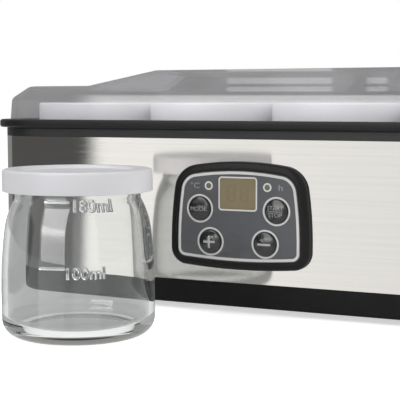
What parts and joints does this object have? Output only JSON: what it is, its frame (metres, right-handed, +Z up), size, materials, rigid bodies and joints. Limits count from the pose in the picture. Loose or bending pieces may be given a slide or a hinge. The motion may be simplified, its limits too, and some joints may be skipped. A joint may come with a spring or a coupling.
{
  "type": "yogurt maker",
  "caption": "Countertop yogurt maker: steel body with a heated tub of lidded glass jars, clear lift-off cover, front control panel with four buttons, and one jar standing in front.",
  "frame": {"origin": "middle of the set's footprint at table level: machine plus the jar in front of it", "axes": "+Z up; -Y is the front, where the control panel and the loose jar are; +X to the right"},
  "size_m": [0.3252, 0.3618, 0.129],
  "materials": {
    "black_plastic": "satin moulded",
    "rubber": "matt",
    "screw_steel": "zinc plated",
    "brushed_steel": "fine horizontal brushing",
    "tub_plastic": "satin moulded",
    "aluminium": "rolled sheet",
    "wire_sleeve": "silicone sleeve",
    "sensor_epoxy": "dipped",
    "circuit_board": "solder mask",
    "tape_yellow": "taped winding",
    "relay_blue": "moulded",
    "capacitor_sleeve": "shrink sleeve",
    "terminal_plastic": "moulded",
    "ribbon_grey": "flat cable",
    "gloss_black": "gloss moulded",
    "fascia_grey": "printed film",
    "display_tint": "tinted window",
    "module_plastic": "moulded",
    "indicator_tint": "tinted lens",
    "led_resin": "clear resin",
    "switch_plastic": "moulded",
    "button_black": "gloss moulded",
    "cover_clear": "clear grey moulded",
    "jar_glass": "clear pressed glass",
    "lid_plastic": "satin moulded"
  },
  "bodies": {
    "machine": {"base_pan": "black_plastic", "rubber_feet": "rubber", "base_screws": "screw_steel", "steel_shell": "brushed_steel", "collar_ring": "black_plastic", "inner_tub": "tub_plastic", "heating_plate": "aluminium", "heating_wire": "wire_sleeve", "wire_straps": "aluminium", "temperature_sensor": "sensor_epoxy", "sensor_clip": "aluminium", "thermal_fuse": "screw_steel", "power_board": "circuit_board", "power_transformer": "tape_yellow", "power_relay": "relay_blue", "power_capacitor": "capacitor_sleeve", "terminal_block": "terminal_plastic", "ribbon_cable": "ribbon_grey", "cord_gland": "rubber", "control_bezel": "gloss_black", "panel_fascia": "fascia_grey", "display_lens": "display_tint", "display_module": "module_plastic", "lens_temperature": "indicator_tint", "lens_time": "indicator_tint", "indicator_leds": "led_resin", "control_board": "circuit_board", "board_screws": "screw_steel", "tact_switches": "switch_plastic"},
    "cover": {"cover": "cover_clear"},
    "button_mode": {"button_mode": "button_black"},
    "button_start": {"button_start": "button_black"},
    "button_plus": {"button_plus": "button_black"},
    "button_minus": {"button_minus": "button_black"},
    "filled_place_1": {"jar_1": "jar_glass", "jar_lid_1": "lid_plastic"},
    "filled_place_2": {"jar_2": "jar_glass", "jar_lid_2": "lid_plastic"},
    "filled_place_3": {"jar_3": "jar_glass", "jar_lid_3": "lid_plastic"},
    "filled_place_4": {"jar_4": "jar_glass", "jar_lid_4": "lid_plastic"},
    "filled_place_5": {"jar_5": "jar_glass", "jar_lid_5": "lid_plastic"},
    "filled_place_6": {"jar_6": "jar_glass", "jar_lid_6": "lid_plastic"},
    "filled_place_7": {"jar_7": "jar_glass", "jar_lid_7": "lid_plastic"},
    "filled_place_8": {"jar_8": "jar_glass", "jar_lid_8": "lid_plastic"},
    "filled_place_9": {"jar_9": "jar_glass", "jar_lid_9": "lid_plastic"},
    "filled_place_10": {"jar_10": "jar_glass", "jar_lid_10": "lid_plastic"},
    "filled_place_11": {"jar_11": "jar_glass", "jar_lid_11": "lid_plastic"},
    "front_jar": {"jar_12": "jar_glass"},
    "front_jar_lid": {"jar_lid_12": "lid_plastic"}
  },
  "joints": [
    {"name": "cover_lift", "type": "slide", "parent": "machine", "child": "cover", "axis": [0, 0, 1], "range_m": [0, 0.2]},
    {"name": "press_mode", "type": "slide", "parent": "machine", "child": "button_mode", "axis": [0, 1, 0], "range_m": [0, 0.0005], "stiffness_N_per_m": 1200},
    {"name": "press_start", "type": "slide", "parent": "machine", "child": "button_start", "axis": [0, 1, 0], "range_m": [0, 0.0005], "stiffness_N_per_m": 1200},
    {"name": "press_plus", "type": "slide", "parent": "machine", "child": "button_plus", "axis": [0, 1, 0], "range_m": [0, 0.0005], "stiffness_N_per_m": 1200},
    {"name": "press_minus", "type": "slide", "parent": "machine", "child": "button_minus", "axis": [0, 1, 0], "range_m": [0, 0.0005], "stiffness_N_per_m": 1200},
    {"name": "lift_jar_1", "type": "slide", "parent": "machine", "child": "filled_place_1", "axis": [0, 0, 1], "range_m": [0, 0.12]},
    {"name": "lift_jar_2", "type": "slide", "parent": "machine", "child": "filled_place_2", "axis": [0, 0, 1], "range_m": [0, 0.12]},
    {"name": "lift_jar_3", "type": "slide", "parent": "machine", "child": "filled_place_3", "axis": [0, 0, 1], "range_m": [0, 0.12]},
    {"name": "lift_jar_4", "type": "slide", "parent": "machine", "child": "filled_place_4", "axis": [0, 0, 1], "range_m": [0, 0.12]},
    {"name": "lift_jar_5", "type": "slide", "parent": "machine", "child": "filled_place_5", "axis": [0, 0, 1], "range_m": [0, 0.12]},
    {"name": "lift_jar_6", "type": "slide", "parent": "machine", "child": "filled_place_6", "axis": [0, 0, 1], "range_m": [0, 0.12]},
    {"name": "lift_jar_7", "type": "slide", "parent": "machine", "child": "filled_place_7", "axis": [0, 0, 1], "range_m": [0, 0.12]},
    {"name": "lift_jar_8", "type": "slide", "parent": "machine", "child": "filled_place_8", "axis": [0, 0, 1], "range_m": [0, 0.12]},
    {"name": "lift_jar_9", "type": "slide", "parent": "machine", "child": "filled_place_9", "axis": [0, 0, 1], "range_m": [0, 0.12]},
    {"name": "lift_jar_10", "type": "slide", "parent": "machine", "child": "filled_place_10", "axis": [0, 0, 1], "range_m": [0, 0.12]},
    {"name": "lift_jar_11", "type": "slide", "parent": "machine", "child": "filled_place_11", "axis": [0, 0, 1], "range_m": [0, 0.12]},
    {"name": "lift_front_jar", "type": "slide", "parent": "machine", "child": "front_jar", "axis": [0, 0, 1], "range_m": [0, 0.15]},
    {"name": "lift_front_lid", "type": "slide", "parent": "front_jar", "child": "front_jar_lid", "axis": [0, 0, 1], "range_m": [0, 0.06]}
  ],
  "couplings": [
    {"joint": "lift_jar_1", "follows": "cover_lift", "ratio": 0.6},
    {"joint": "lift_jar_2", "follows": "cover_lift", "ratio": 0.6},
    {"joint": "lift_jar_3", "follows": "cover_lift", "ratio": 0.6},
    {"joint": "lift_jar_4", "follows": "cover_lift", "ratio": 0.6},
    {"joint": "lift_jar_5", "follows": "cover_lift", "ratio": 0.6},
    {"joint": "lift_jar_6", "follows": "cover_lift", "ratio": 0.6},
    {"joint": "lift_jar_7", "follows": "cover_lift", "ratio": 0.6},
    {"joint": "lift_jar_8", "follows": "cover_lift", "ratio": 0.6},
    {"joint": "lift_jar_9", "follows": "cover_lift", "ratio": 0.6},
    {"joint": "lift_jar_10", "follows": "cover_lift", "ratio": 0.6},
    {"joint": "lift_jar_11", "follows": "cover_lift", "ratio": 0.6}
  ]
}
